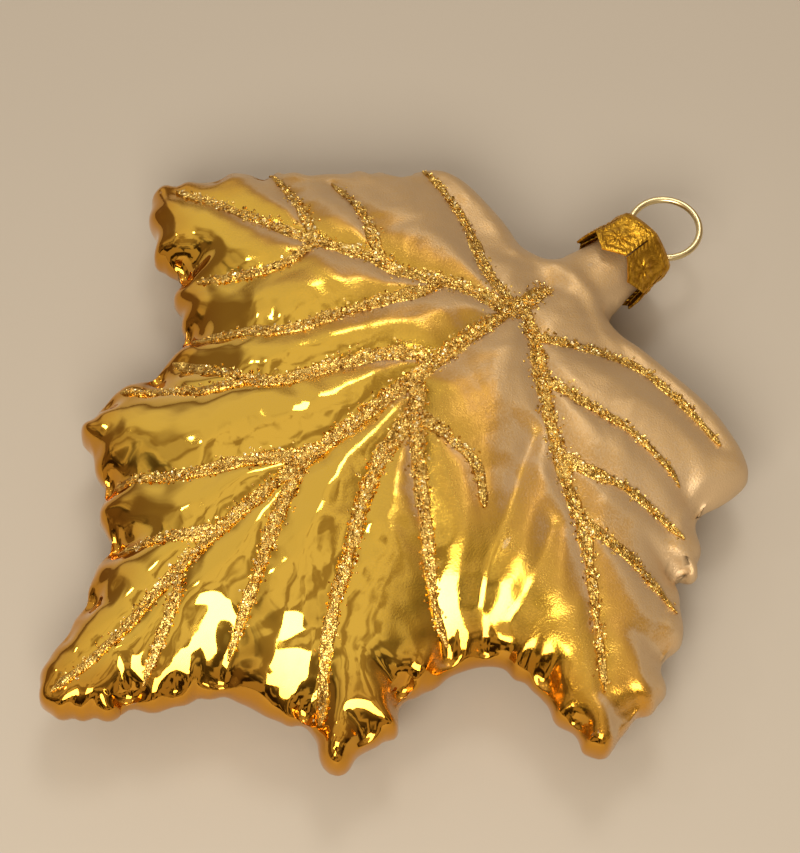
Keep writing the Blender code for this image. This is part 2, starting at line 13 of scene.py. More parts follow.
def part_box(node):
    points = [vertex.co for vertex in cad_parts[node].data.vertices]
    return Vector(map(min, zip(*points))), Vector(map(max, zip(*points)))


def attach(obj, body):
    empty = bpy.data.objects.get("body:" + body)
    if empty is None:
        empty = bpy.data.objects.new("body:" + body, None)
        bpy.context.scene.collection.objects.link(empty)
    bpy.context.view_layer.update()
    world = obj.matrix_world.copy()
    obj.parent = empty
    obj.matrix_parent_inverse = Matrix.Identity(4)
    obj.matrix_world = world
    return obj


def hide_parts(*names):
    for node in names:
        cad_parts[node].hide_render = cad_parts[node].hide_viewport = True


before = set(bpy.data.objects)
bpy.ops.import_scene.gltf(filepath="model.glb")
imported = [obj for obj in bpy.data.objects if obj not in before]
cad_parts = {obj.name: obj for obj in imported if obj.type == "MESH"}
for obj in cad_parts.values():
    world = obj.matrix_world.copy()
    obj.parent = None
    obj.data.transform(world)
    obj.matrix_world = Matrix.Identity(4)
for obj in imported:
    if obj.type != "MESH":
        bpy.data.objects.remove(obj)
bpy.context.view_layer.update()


# The camera looks down on the lying leaf from beyond its right lobe, as the photograph does.
# Places are worked out in the leaf's own millimetres, with y along the midrib; the wire loop's box
# says where that drawing lies in the frame.
MM = 0.001
NECK_X = 1.0
LOOP_TOP = 31.75
CAMERA_PLACE = (108.9, -116.3, 264.9)
CAMERA_AIM = (-2.5, -19.5, 0.0)
LENS = 93.7

loop_low, loop_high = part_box("hanger")
ORIGIN = Vector(((loop_low.x + loop_high.x) / 2 / MM - NECK_X, loop_high.y / MM - LOOP_TOP, 0))


def in_frame(point):
    """A place in the leaf's millimetres, as a place in the frame, in metres."""
    return (Vector(point) + ORIGIN) * MM


camera_data = bpy.data.cameras.new("camera")
camera_data.lens = LENS
camera_data.clip_start = 0.01
camera = bpy.data.objects.new("camera", camera_data)
bpy.context.scene.collection.objects.link(camera)
camera.location = in_frame(CAMERA_PLACE)
camera.rotation_euler = (in_frame(CAMERA_AIM) - camera.location).to_track_quat("-Z", "Y").to_euler()
bpy.context.scene.camera = camera


# The leaf: one bubble of glass blown into a two-part mould, so it has a toothed seam, sunk veins and
# a neck. It is mirrored gold inside, and matte peach lacquer is sprayed over its upper right.
SEAM_HEIGHT = 7.5
RIM_RADIUS = 3.6
FRONT_RIM = 5.5
FRONT_DOME = 8.0
FRONT_REACH = 11.0
FRONT_FADE_FROM = 8.0
FRONT_FADE = 8.0
BACK_RIM = 3.6
BACK_DOME = 4.83
BACK_REACH = 14.0
BACK_VEIN_SHARE = 0.5
GROOVE_LENGTH = 3.0
GROOVE_STRENGTH = 1.4
GROOVE_ROUNDING = 0.35
GROOVE_TAPER = 0.35
GROOVE_SHARPNESS = 6
GROOVE_FADE = 5.0
BACK_VEINS_END = 15.0
BACK_VEINS_FADE = 6.0
SOFTEN_FROM = 0.8
SOFTEN_OVER = 1.6
NOTCH_SPAN = 2.0
NOTCH_TURN = 0.12
FOLD_TOP = 8.0
FOLD_LENGTH = 7.5
FOLD_WIDTH = 1.2
FOLD_ROUNDING = 0.5
FOLD_DEPTH = 3.0
FOLD_START = 1.2
SHARPEST_FOLD = 1.1
RIPPLE_START = 4.0
FLUTE_DEPTH = 0.8
FLUTE_REACH = 6.0
FLUTES_END = 5.0
FLUTES_FADE = 4.0
NECK_LIP = 21.6
NECK_TOP_RADIUS = 4.3
NECK_FLARE = 1.9
NECK_FLARE_START = 20.5
NECK_FLARE_LENGTH = 12.0
NECK_STRAIGHT_END = 11.0
NECK_SINK_END = -5.0
NECK_SINK_LENGTH = 12.0
NECK_VALLEY = 1.2
NECK_VALLEY_EDGE = 1.5
WALL = 0.9
INNER_LEVELS = (21.6, 19.0, 15.0, 11.0, 7.5)
FINE_STEP = 0.5
VEIN_STEP = 1.5
NECK_STEP = 2.5
EDGE_STEP = 0.55
FRONT_STEP = 0.55
BACK_STEP = 1.0
RIM_TURNS = (9, 18, 28, 38, 48, 58, 69)
LIP_TURNS = range(84, -85, -7)
SAME_PLACE = 1e-3
RING_ROOM = 0.95
GRID_ROOM = 0.4

LEFT_SHOULDER = [
    (-5.6, 9.4), (-9, 8.6), (-14, 9.5), (-20.5, 10), (-24, 9.4), (-26.6, 8), (-28.6, 6),
    (-29.4, 4.2), (-31.5, 2.2), (-34.3, -1.2), (-37.3, -5.2),
]
LEFT_LOBE = [
    (-39.3, -6.9), (-41.2, -8.5), (-42, -10.5), (-44.2, -12.6), (-45.5, -14.2), (-45.9, -16),
    (-48.2, -20.2), (-49.8, -23), (-49.9, -24.8), (-48.8, -26.2), (-47, -27.5), (-44, -29.2),
    (-41.2, -31), (-39.3, -31.3), (-37.3, -30.6), (-35.8, -30.9), (-34.8, -32.5), (-33.4, -33.6),
    (-29.6, -35.2), (-28.1, -36.6), (-27.4, -38.8), (-25.9, -42.6),
]
LOWER_LEFT_LOBE = [
    (-26.6, -44.5), (-27.5, -46.3), (-27.8, -48.3), (-27.1, -50.8), (-27, -53), (-26.2, -55),
    (-24.8, -56.2), (-22.8, -56.5), (-20.6, -57), (-17, -58.4), (-15.8, -60), (-14.2, -61.4),
    (-12, -61.9), (-10, -62.3), (-9.4, -64), (-8.7, -66.2),
]
TIP_LOBE = [
    (-7, -68.2), (-5.6, -69.6), (-5, -72.5), (-3.6, -75), (-2.8, -78), (-1, -81), (1.4, -82.3),
    (3.6, -82), (5.5, -80.7), (7, -78.8), (8.6, -77), (9.2, -75.4), (9.3, -73.8), (11.6, -72),
    (12.6, -69), (13.6, -66.8), (15, -64.6),
]
LOWER_RIGHT_LOBE = [
    (17.4, -63.1), (20, -62.4), (22.5, -61.2), (24.6, -59.5), (26.8, -59.8), (29, -60.5),
    (31.3, -61), (32.8, -60.2), (33.3, -58.5), (33, -56.5), (32.6, -54.8), (33.3, -53),
    (33.4, -51.2), (32.6, -49.6), (31.3, -48), (31, -46.6), (31.8, -45), (32, -43.4), (31.7, -41),
]
RIGHT_LOBE = [
    (32.3, -39), (33.5, -37), (35.2, -36), (37.9, -35.2), (40.1, -34.4), (42, -34.7), (44.5, -35.4),
    (46.7, -35.1), (48.5, -35.5), (50.2, -35.7), (51.9, -34.6), (52.4, -32.8), (52.1, -30.6),
    (51.6, -28.4), (52, -26.5), (52.2, -24.6), (51.8, -23), (50.5, -21.6), (48.8, -20.1),
    (48.2, -18.8), (48.3, -17.2), (47.8, -15.7), (45.2, -13.3), (41.6, -10.9),
]
RIGHT_SHOULDER = [
    (42.3, -9.7), (42.6, -8.4), (42, -6.9), (40.7, -5.5), (39, -4.4), (37.6, -2.9), (37, -1.2),
    (37.5, 1.5), (37.7, 3.9), (37.3, 5.8), (36.4, 7.1), (34.9, 8.2), (32.6, 9), (28, 10.1),
    (24.5, 10.4), (19.5, 10.1), (14.2, 9.6), (10.6, 9), (7.6, 9.4),
]
VEINS = {
    "midrib": (2.2, 2.4, 1.2, [
        (-0.3, 5), (0.5, -1), (0.8, -10), (0.8, -25), (0.8, -42), (0.8, -52), (1.2, -61),
        (2.2, -69), (2.4, -76), (2, -80.3)]),
    "tip_right": (1.2, 1.6, 0.9, [(1.1, -59.5), (3.9, -61.8), (6.5, -66.5), (9, -71.3)]),
    "tip_left": (1.2, 1.6, 0.9, [(0.8, -52), (-1, -55), (-5, -59.2), (-8, -62.5)]),
    "lower_left": (1.7, 2.1, 1.0, [
        (0.8, -36), (-0.5, -38.8), (-4.2, -44.2), (-7, -48.8), (-10, -52), (-14, -55), (-15.6, -57)]),
    "lower_right": (1.7, 2.1, 1.0, [
        (0.8, -39), (4.7, -46), (8.8, -52.7), (11.5, -57.7), (13.5, -61.5)]),
    "right_third": (2.0, 2.2, 1.2, [
        (0.8, -20), (4.5, -23), (7, -31), (10.4, -37), (14.4, -42.4), (18, -48), (22, -53),
        (27, -58)]),
    "right_fourth": (1.9, 2.1, 1.1, [(4.5, -23), (11.8, -28.7), (19, -33.7), (25, -37.8), (29.5, -39.5)]),
    "right_spur": (0.9, 1.7, 1.2, [(4.5, -23), (7.5, -23.2), (11, -22.9), (16.2, -23), (21, -26)]),
    "left_third": (1.9, 2.2, 1.1, [
        (0.5, -16), (-3.6, -19.5), (-6.3, -24.8), (-10, -32.8), (-13, -35.5), (-19.5, -38),
        (-25, -40)]),
    "left_third_fork": (1.3, 1.7, 0.9, [
        (-13.5, -35.7), (-16.8, -40.8), (-20.5, -43), (-23, -45.3), (-26, -48)]),
    "left_fourth": (1.6, 2.0, 0.9, [
        (-8, -7), (-8.5, -10.5), (-10.3, -15), (-13.5, -23), (-15.5, -27.5), (-20, -31.3),
        (-26, -36)]),
    "left_main": (2.0, 2.3, 1.2, [
        (0.5, -3), (-7, -6), (-13, -10.5), (-17, -11.8), (-24, -15.5), (-31, -18), (-40, -20.5),
        (-46.5, -22.5)]),
    "left_upper_fork": (1.3, 1.8, 0.9, [
        (-15, -11.2), (-18, -10.3), (-22, -8.4), (-27, -6.8), (-32.5, -6)]),
    "left_middle_fork": (1.3, 1.8, 0.9, [(-24, -15.5), (-28.3, -14.1), (-33.6, -12.2), (-40, -10.8)]),
    "left_lower_fork": (1.3, 1.8, 0.9, [
        (-24, -15.5), (-24, -20.8), (-26, -24.5), (-29.5, -27.5), (-32.5, -30)]),
    "left_shoulder": (1.6, 2.0, 1.0, [
        (0.3, -1.5), (-3, -1.5), (-7.5, -0.2), (-14, 3), (-20, 4.7), (-27, 6)]),
    "right_main": (2.1, 2.3, 1.2, [
        (0.5, -0.5), (6.8, -4), (11.5, -7.5), (17, -11), (23.5, -14.8), (31, -18.2), (36.5, -21.8),
        (41.5, -25.3), (47, -29.3)]),
    "right_shoulder": (1.5, 1.9, 0.9, [
        (5, -3), (7, -2), (10, 1), (13, 3.8), (17, 5.8), (23, 6.3), (32, 5.7)]),
    "right_upper_fork": (1.3, 1.8, 0.8, [
        (11, -7.2), (16.9, -5.9), (23, -3.9), (30.5, -2.7), (33, -2.8)]),
    "right_middle_fork": (1.3, 1.8, 0.8, [(21, -13.6), (25, -12.3), (30.9, -9), (38.5, -7.2)]),
    "right_lower_fork": (1.3, 1.8, 0.8, [(29.5, -17.6), (33.3, -16.2), (38, -15), (45, -14.7)]),
    "inner_fold": (1.9, 0, 0, [(17, -13.8), (20.2, -19.5), (23.5, -24.6), (26.2, -30), (29, -34)]),
    "outer_fold": (1.4, 0, 0, [(27.9, -20.8), (30.1, -24.4), (31.5, -28), (32.5, -32)]),
}
# The spray's lower limit, from the left edge to the right: above it the lacquer covers.
SPRAY_LIMIT = [
    (-60, 0), (-46, -4), (-38, -10), (-30, -16), (-14, -16), (0, -19), (10, -28), (20, -34), (32, -34),
    (60, -34),
]
SPRAY_FADE = 17.0
SPRAY_FROM = (-0.35, 0.94, 0.0)
SPRAY_ON_SLOPES = 2.2
SPRAY_BEHIND_SLOPES = 0.5
SPRAY_MOST = 1.6
SPRAY_LOWEST = 2.5
SPRAY_RISE = 4.0


def smooth_step(edge, value):
    t = np.clip(value / edge, 0, 1)
    return t * t * (3 - 2 * t)


def smooth_route(points, step):
    """A Catmull-Rom curve through the points, as an array with about step between its points."""
    points = np.array(points, float)
    ends = np.vstack([points[:1], points, points[-1:]])
    route = []
    for before, start, end, after in zip(ends, ends[1:], ends[2:], ends[3:]):
        pieces = max(round(float(np.linalg.norm(end - start)) / step), 1)
        for t in np.arange(pieces) / pieces:
            route.append(
                start
                + (end - before) * t / 2
                + (2 * before - 5 * start + 4 * end - after) * t**2 / 2
                + (3 * start - before - 3 * end + after) * t**3 / 2
            )
    return np.vstack([route, points[-1:]])


def evenly(route, step):
    """The same route with its points at equal distances."""
    along = np.concatenate([[0], np.cumsum(np.linalg.norm(np.diff(route, axis=0), axis=1))])
    marks = np.linspace(0, along[-1], max(round(along[-1] / step), 1) + 1)
    return np.column_stack([np.interp(marks, along, route[:, axis]) for axis in (0, 1)])


def across_route(route):
    """The way straight across a route to its left, at each of its points."""
    along = np.gradient(route, axis=0)
    across = np.column_stack([-along[:, 1], along[:, 0]])
    return across / np.linalg.norm(across, axis=1)[:, None]


def in_batches(work, points, *others):
    """Runs work on a few thousand points at a time, because it compares each with a whole route."""
    size = 3000
    done = [work(points[start:start + size], *others) for start in range(0, len(points), size)]
    return np.concatenate(done)


def distance_to_route(points, route):
    """The distance of each point to a route, and how far along it the nearest place is, 0 to 1."""
    start, run = route[:-1], np.diff(route, axis=0)
    length = np.linalg.norm(run, axis=1)
    offset = points[:, None] - start
    share = np.clip((offset * run).sum(2) / length**2, 0, 1)
    gap = np.linalg.norm(offset - share[:, :, None] * run, axis=2)
    nearest = gap.argmin(axis=1)
    rows = np.arange(len(points))
    along = np.concatenate([[0], np.cumsum(length)])
    place = (along[nearest] + share[rows, nearest] * length[nearest]) / along[-1]
    return np.column_stack([gap[rows, nearest], place])


def neck_radius(y):
    t = np.clip((NECK_FLARE_START - y) / NECK_FLARE_LENGTH, 0, 1.1)
    return NECK_TOP_RADIUS + NECK_FLARE * t**2


def edge_route(step, neck_end):
    """The outline at the seam, from the left end of the neck round the leaf to its right end."""
    neck = np.arange(neck_end, NECK_STRAIGHT_END, -NECK_STEP)
    left = [(NECK_X - neck_radius(y), y) for y in neck]
    right = [(NECK_X + neck_radius(y), y) for y in neck[::-1]]
    leaf = LEFT_SHOULDER + LEFT_LOBE + LOWER_LEFT_LOBE + TIP_LOBE
    leaf += LOWER_RIGHT_LOBE + RIGHT_LOBE + RIGHT_SHOULDER
    return evenly(smooth_route(left + leaf + right, step / 4), step)


FINE_EDGE = edge_route(FINE_STEP, NECK_LIP + NECK_FLARE_LENGTH)


def depth_of_batch(points):
    exact = distance_to_route(points, FINE_EDGE)[:, 0]
    square = ((points[:, None] - FINE_EDGE) ** 2).sum(2)
    spacing = np.linalg.norm(FINE_EDGE[1] - FINE_EDGE[0])
    total = (spacing / np.maximum(square, 1e-3) ** 2).sum(1)
    soft = (2 * total / math.pi) ** (-1 / 3)
    return exact + (soft - exact) * smooth_step(SOFTEN_OVER, exact - SOFTEN_FROM)


def depth_inside(points):
    """How far inside the edge a point lies: exact near it, and softened where lobes meet."""
    return in_batches(depth_of_batch, points)


def groove_depth(points):
    """The depth of the vein grooves, which run into each other without doubling."""
    total = np.zeros(len(points))
    for depth, _, _, route in VEINS.values():
        gap, place = in_batches(distance_to_route, points, smooth_route(route, VEIN_STEP)).T
        away = np.hypot(gap, GROOVE_ROUNDING) - GROOVE_ROUNDING
        total += (depth * (1 - GROOVE_TAPER * place) * np.exp(-away / GROOVE_LENGTH)) ** GROOVE_SHARPNESS
    return GROOVE_STRENGTH * total ** (1 / GROOVE_SHARPNESS)


def notch_folds():
    """A short fold running inward from every notch between two teeth: its ends, and how sharp it is."""
    reach = round(NOTCH_SPAN / FINE_STEP)
    before, here, after = FINE_EDGE[:-2 * reach], FINE_EDGE[reach:-reach], FINE_EDGE[2 * reach:]
    one, two = here - before, after - here
    turn = np.arctan2(one[:, 0] * two[:, 1] - one[:, 1] * two[:, 0], (one * two).sum(1))
    folds = []
    for index in range(reach, len(turn) - reach):
        sharpest = turn[index] == turn[index - reach:index + reach + 1].min()
        if turn[index] < -NOTCH_TURN and sharpest and here[index][1] < FOLD_TOP:
            chord = after[index] - before[index]
            inward = np.array([-chord[1], chord[0]]) / np.linalg.norm(chord)
            sharp = min(math.sqrt(-turn[index]), SHARPEST_FOLD)
            folds.append((here[index], here[index] + inward * FOLD_LENGTH * sharp, sharp))
    return folds


def fold_depth(points):
    """How deep the folds between the teeth sink into the front's rim."""
    total = np.zeros(len(points))
    for start, end, sharp in FOLDS:
        near = np.linalg.norm(points - start, axis=1) < 3 * FOLD_LENGTH
        gap, place = distance_to_route(points[near], np.array([start, end])).T
        away = np.hypot(gap, FOLD_ROUNDING) - FOLD_ROUNDING
        depth = FOLD_DEPTH * sharp * np.exp(-away / FOLD_WIDTH) * (1 - smooth_step(1, place))
        total[near] = np.maximum(total[near], depth)
    return total


FOLDS = notch_folds()


def neck_height(points):
    """Half the neck's round section above the seam, sinking into the body under the shoulders."""
    x, y = points.T
    section = np.sqrt(np.maximum(neck_radius(y) ** 2 - (x - NECK_X) ** 2, 0))
    return section * smooth_step(NECK_SINK_LENGTH, y - NECK_SINK_END)


def joined(first, second, depth):
    """The higher of two heights, with a soft valley between them that ends at the edge."""
    soft = NECK_VALLEY * (1 - np.exp(-depth / NECK_VALLEY_EDGE))
    return (first + second + np.hypot(first - second, soft) - soft) / 2


def rim_height(depth):
    return np.sqrt(1 - (1 - np.minimum(depth / RIM_RADIUS, 1)) ** 2)


def groove_fade(depth):
    t = np.minimum(depth / GROOVE_FADE, 1)
    return t * (2 - t)


def ripple(points):
    """The slight unevenness of blown glass, in mm."""
    x, y = points.T
    wander = 1.7 * np.sin(0.31 * x + 0.23 * y) + 1.1 * np.sin(0.19 * x - 0.37 * y + 2)
    first = np.sin(0.62 * x + 0.35 * y + wander)
    second = np.sin(0.29 * x - 0.71 * y + 1.4 * wander + 1)
    small = np.sin(1.7 * x + 0.6 * y + 1.8 * wander) * np.sin(1.4 * y - 0.7 * x + wander)
    return 0.075 * (first + second) + 0.035 * small


def front_height(points):
    depth = depth_inside(points)
    height = FRONT_RIM * rim_height(depth) + FRONT_DOME * (1 - np.exp(-((depth / FRONT_REACH) ** 2)))
    height *= 1 - smooth_step(FRONT_FADE, points[:, 1] - FRONT_FADE_FROM)
    height = joined(height, neck_height(points), depth)
    uneven = smooth_step(RIPPLE_START, depth) * ripple(points)
    sunk = groove_fade(depth) * groove_depth(points) + smooth_step(FOLD_START, depth) * fold_depth(points)
    return SEAM_HEIGHT + height - sunk + uneven


def back_height(points):
    depth = depth_inside(points)
    height = BACK_RIM * rim_height(depth) + BACK_DOME * (1 - np.exp(-((depth / BACK_REACH) ** 2)))
    height = joined(height, neck_height(points), depth)
    fade = BACK_VEIN_SHARE * groove_fade(depth) * smooth_step(BACK_VEINS_FADE, BACK_VEINS_END - depth)
    return np.maximum(SEAM_HEIGHT - height + fade * groove_depth(points), 0)


def sheet(edge, step):
    """A triangulated plan of the leaf: its points, and its triangles turned to face up."""
    turns = np.radians(LIP_TURNS)
    lip = np.column_stack([
        NECK_X + NECK_TOP_RADIUS * np.sin(turns), np.full(len(turns), NECK_LIP)])
    boundary = np.vstack([edge, lip])
    inward = across_route(edge)
    insets = RIM_RADIUS * (1 - np.cos(np.radians(RIM_TURNS)))
    rings = []
    for inset in insets:
        ring = (edge + inward * inset)[1:-1]
        gap = in_batches(distance_to_route, ring, FINE_EDGE)[:, 0]
        rings.append(ring[gap > RING_ROOM * inset])
    low, high = edge.min(axis=0), edge.max(axis=0)
    rows = np.arange(low[1], high[1], step * math.sqrt(3) / 2)
    starts = low[0] + step / 2 * (np.arange(len(rows)) % 2)
    across = np.arange(0, high[0] - low[0], step)
    grid = np.stack(np.broadcast_arrays(starts[:, None] + across, rows[:, None]), axis=2)
    grid = grid.reshape(-1, 2)
    gap = in_batches(distance_to_route, grid, edge)[:, 0]
    plan = np.vstack([boundary, *rings, grid[gap > insets[-1] + step * GRID_ROOM]])
    loop = list(range(len(boundary)))
    found = delaunay_2d_cdt([Vector(point) for point in plan], [], [loop], 1, 1e-4)
    used, faces = np.unique(np.array(found[2]), return_inverse=True)
    points = np.array([tuple(point) for point in found[0]])[used]
    faces = faces.reshape(-1, 3)
    first, second, third = (points[faces[:, corner]] for corner in range(3))
    one, two = second - first, third - first
    flipped = one[:, 0] * two[:, 1] < one[:, 1] * two[:, 0]
    faces[flipped] = faces[flipped][:, ::-1]
    return points, faces


def glass_mesh():
    """Front and back sheets sewn together along the seam, with the neck's glass turned in."""
    edge = edge_route(EDGE_STEP, NECK_LIP)
    corners, faces, seam = [], [], {}
    for height, step, front in ((front_height, FRONT_STEP, True), (back_height, BACK_STEP, False)):
        points, triangles = sheet(edge, step)
        levels = height(points)
        gap = in_batches(distance_to_route, points, edge)[:, 0]
        numbers = []
        for point, level, away in zip(points, levels, gap):
            key = (round(point[0], 3), round(point[1], 3))
            if away < SAME_PLACE and key in seam:
                numbers.append(seam[key])
                continue
            if away < SAME_PLACE:
                level = SEAM_HEIGHT
                seam[key] = len(corners)
            numbers.append(len(corners))
            corners.append((point[0], point[1], level))
        turned = triangles if front else triangles[:, ::-1]
        faces.append(np.array(numbers)[turned])
    return neck_inside(np.array(corners), np.vstack(faces))


def neck_inside(corners, faces):
    """Turns the glass in at the neck's lip and closes the hollow low in the body, out of sight."""
    x, y, z = corners.T
    lip = np.flatnonzero(abs(y - NECK_LIP) < SAME_PLACE)
    angles = np.arctan2(z[lip] - SEAM_HEIGHT, x[lip] - NECK_X)
    order = np.argsort(angles)
    ring, angles = lip[order], angles[order]
    for level in INNER_LEVELS:
        radius = neck_radius(level) - WALL
        new = len(corners) + np.arange(len(ring))
        around = [NECK_X + radius * np.cos(angles), np.full(len(ring), level)]
        around.append(SEAM_HEIGHT + radius * np.sin(angles))
        corners = np.vstack([corners, np.column_stack(around)])
        after, new_after = np.roll(ring, -1), np.roll(new, -1)
        halves = [np.column_stack([ring, after, new]), np.column_stack([after, new_after, new])]
        faces = np.vstack([faces, *halves])
        ring = new
    middle = len(corners)
    corners = np.vstack([corners, [NECK_X, INNER_LEVELS[-1], SEAM_HEIGHT]])
    fan = np.column_stack([ring, np.roll(ring, -1), np.full(len(ring), middle)])
    return corners, np.vstack([faces, fan])


def fluted(corners, faces, inside):
    """Presses shallow upright flutes into the rim, as the mould's teeth leave them."""
    one, two = (corners[faces[:, corner]] - corners[faces[:, 0]] for corner in (1, 2))
    across = np.cross(one, two)
    facing = np.zeros_like(corners)
    for corner in range(3):
        np.add.at(facing, faces[:, corner], across)
    facing /= np.linalg.norm(facing, axis=1)[:, None]
    x, y, _ = corners.T
    wander = 1.3 * np.sin(0.33 * x - 0.21 * y) + 0.9 * np.sin(0.27 * y + 0.4 * x)
    flute = 0.5 + 0.5 * np.sin(0.8 * x + 0.3 * y + wander) * np.sin(0.7 * y - 0.2 * x + 1.4 * wander)
    near = (1 - smooth_step(FLUTE_REACH, inside)) * (1 - smooth_step(FLUTES_FADE, y - FLUTES_END))
    return corners - facing * (FLUTE_DEPTH * flute * near)[:, None]


def mesh_piece(name, corners, faces):
    """A new object from corners in the leaf's millimetres."""
    mesh = bpy.data.meshes.new(name)
    placed = (np.asarray(corners, float) + np.array(ORIGIN)) * MM
    mesh.from_pydata(placed.tolist(), [], faces)
    mesh.update()
    shell = bmesh.new()
    shell.from_mesh(mesh)
    bmesh.ops.recalc_face_normals(shell, faces=shell.faces)
    shell.to_mesh(mesh)
    shell.free()
    piece = bpy.data.objects.new(name, mesh)
    bpy.context.scene.collection.objects.link(piece)
    return piece


def mark(piece, name, values):
    """Stores one number for each point of the piece, for its material to read."""
    attribute = piece.data.attributes.new(name, "FLOAT", "POINT")
    attribute.data.foreach_set("value", np.asarray(values, np.float32))


class Wire:
    """A socket of a node that can be used in sums."""

    def __init__(self, nodes, socket):
        self.nodes = nodes
        self.socket = socket

    def sum(self, operation, first, second):
        return self.nodes.node("ShaderNodeMath", {"operation": operation}, {0: first, 1: second})

    def __add__(self, other):
        return self.sum("ADD", self, other)

    def __radd__(self, other):
        return self.sum("ADD", other, self)

    def __sub__(self, other):
        return self.sum("SUBTRACT", self, other)

    def __rsub__(self, other):
        return self.sum("SUBTRACT", other, self)

    def __mul__(self, other):
        return self.sum("MULTIPLY", self, other)

    def __rmul__(self, other):
        return self.sum("MULTIPLY", other, self)


class Nodes:
    """The nodes of a finish or of the room, and a short way to add to them."""

    def __init__(self, tree, place):
        self.tree = tree
        self.place = self.node("ShaderNodeTexCoord", {}, {}, place)

    def node(self, kind, settings, inputs, output=0):
        """Adds a node, sets it, feeds its sockets, and returns one of its outputs."""
        made = self.tree.nodes.new(kind)
        for name, value in settings.items():
            setattr(made, name, value)
        for socket, value in inputs.items():
            if isinstance(value, Wire):
                self.tree.links.new(value.socket, made.inputs[socket])
            else:
                made.inputs[socket].default_value = value
        return Wire(self, made.outputs[output])

    def noise(self, scale, detail=2.0, roughness=0.5):
        sockets = {"Vector": self.place, "Scale": scale, "Detail": detail, "Roughness": roughness}
        return self.node("ShaderNodeTexNoise", {}, sockets, "Fac")

    def ramp(self, value, low, high):
        sockets = {"Value": value, 1: low, 2: high, 3: 0.0, 4: 1.0}
        return self.node("ShaderNodeMapRange", {"interpolation_type": "SMOOTHSTEP"}, sockets)

    def blend(self, share, first, second):
        settings = {"data_type": "RGBA"}
        return self.node("ShaderNodeMix", settings, {0: share, 6: first, 7: second}, 2)


class Finish(Nodes):
    """A material with one Principled shader."""

    def __init__(self, name, **values):
        self.material = bpy.data.materials.new(name)
        self.material.use_nodes = True
        super().__init__(self.material.node_tree, "Object")
        self.shader = self.tree.nodes["Principled BSDF"]
        for socket, value in values.items():
            self.shader.inputs[socket.replace("_", " ")].default_value = value

    def feed(self, socket, wire):
        self.tree.links.new(wire.socket, self.shader.inputs[socket])

    def attribute(self, name):
        return self.node("ShaderNodeAttribute", {"attribute_name": name}, {}, "Fac")

    def bump(self, height, distance, strength=1.0):
        sockets = {"Height": height, "Distance": distance, "Strength": strength}
        return self.node("ShaderNodeBump", {}, sockets, "Normal")


MIRROR_GOLD = (0.95, 0.62, 0.075, 1)
# The orange-brown colour for the rim is a painted reflection, not the gold's own colour.
RIM_REFLECTION_AMBER = (0.62, 0.27, 0.01, 1)
PEACH = (0.6, 0.395, 0.175, 1)
# The pale peach is the lacquer's paler grain and also a painted sheen on steep slopes.
PALE_PEACH_SHEEN = (0.6, 0.425, 0.235, 1)
SATIN = (0.5, 0.265, 0.05, 1)
FROST_SCALE = 3800
CLOUD_SCALE = 140
MIRROR_ROUGHNESS = 0.06
LACQUER_ROUGHNESS = 0.4
CLEAR_COAT = 0.5
FROST_DEPTH = 0.00006
DEEPEST_GROOVE = 2.7


def gilded_glass():
    """Mirror gold, tinted orange at the rim as painted reflection; frosty lacquer where the spray lies,
    with painted sheen.
    """
    finish = Finish("gilded_glass", Coat_IOR=1.5, Coat_Roughness=0.03)
    spray = finish.attribute("spray")
    groove = finish.attribute("groove")
    inside = finish.attribute("inside")
    steep = finish.attribute("steep")
    grain = finish.noise(FROST_SCALE, 2, 0.7)
    cloud = finish.noise(CLOUD_SCALE)
    cover = finish.ramp(spray + 0.3 * (grain - 0.5) + 0.2 * (cloud - 0.5) - 0.3 * groove, 0.05, 0.95)
    # Painted reflection: towards the rim the gold is tinted orange-brown, standing in for what its steep
    # walls reflect.
    rim_reflection = finish.ramp(inside + 5 * (cloud - 0.5), 8, 0.5)
    gold = finish.blend(0.9 * rim_reflection, MIRROR_GOLD, RIM_REFLECTION_AMBER)
    # Painted sheen: steep slopes get the paler peach lacquer, standing in for the frost's whitish sheen.
    thickness_and_sheen = finish.ramp(spray + 1.2 * steep + 0.5 * (grain - 0.5), 0.8, 1.4)
    grain_and_sheen = finish.blend(finish.ramp(grain + steep, 0.4, 0.8), PEACH, PALE_PEACH_SHEEN)
    finish.feed("Base Color", finish.blend(cover, gold, finish.blend(thickness_and_sheen, SATIN, grain_and_sheen)))
    finish.feed("Metallic", 1 - 0.35 * cover - 0.25 * cover * thickness_and_sheen)
    finish.feed("Roughness", MIRROR_ROUGHNESS + (LACQUER_ROUGHNESS - MIRROR_ROUGHNESS) * cover)
    finish.feed("Coat Weight", CLEAR_COAT - CLEAR_COAT * cover)
    finish.feed("Normal", finish.bump(cover * grain, FROST_DEPTH))
    return finish.material


def spray_cover(corners, facing):
    """How much lacquer lies: more above its limit, and on slopes that face the spray."""
    x, y, z = corners.T
    limit = smooth_route(SPRAY_LIMIT, 2)
    height = np.interp(x, limit[:, 0], limit[:, 1])
    reached = 0.5 + (y - height) / (2 * SPRAY_FADE)
    slope = facing @ np.array(SPRAY_FROM)
    thin = np.clip(reached + 0.5, 0, 1)
    more = np.where(slope > 0, SPRAY_ON_SLOPES * thin, SPRAY_BEHIND_SLOPES) * slope
    return np.clip(reached + more, 0, SPRAY_MOST) * smooth_step(SPRAY_RISE, z - SPRAY_LOWEST)


corners, faces = glass_mesh()
plan = corners[:, :2].copy()
inside = depth_inside(plan)
corners = fluted(corners, faces, inside)
glass = mesh_piece("glass_leaf_skin", corners, faces.tolist())
facing = np.array([vertex.normal for vertex in glass.data.vertices])
mark(glass, "spray", spray_cover(corners, facing))
mark(glass, "inside", inside)
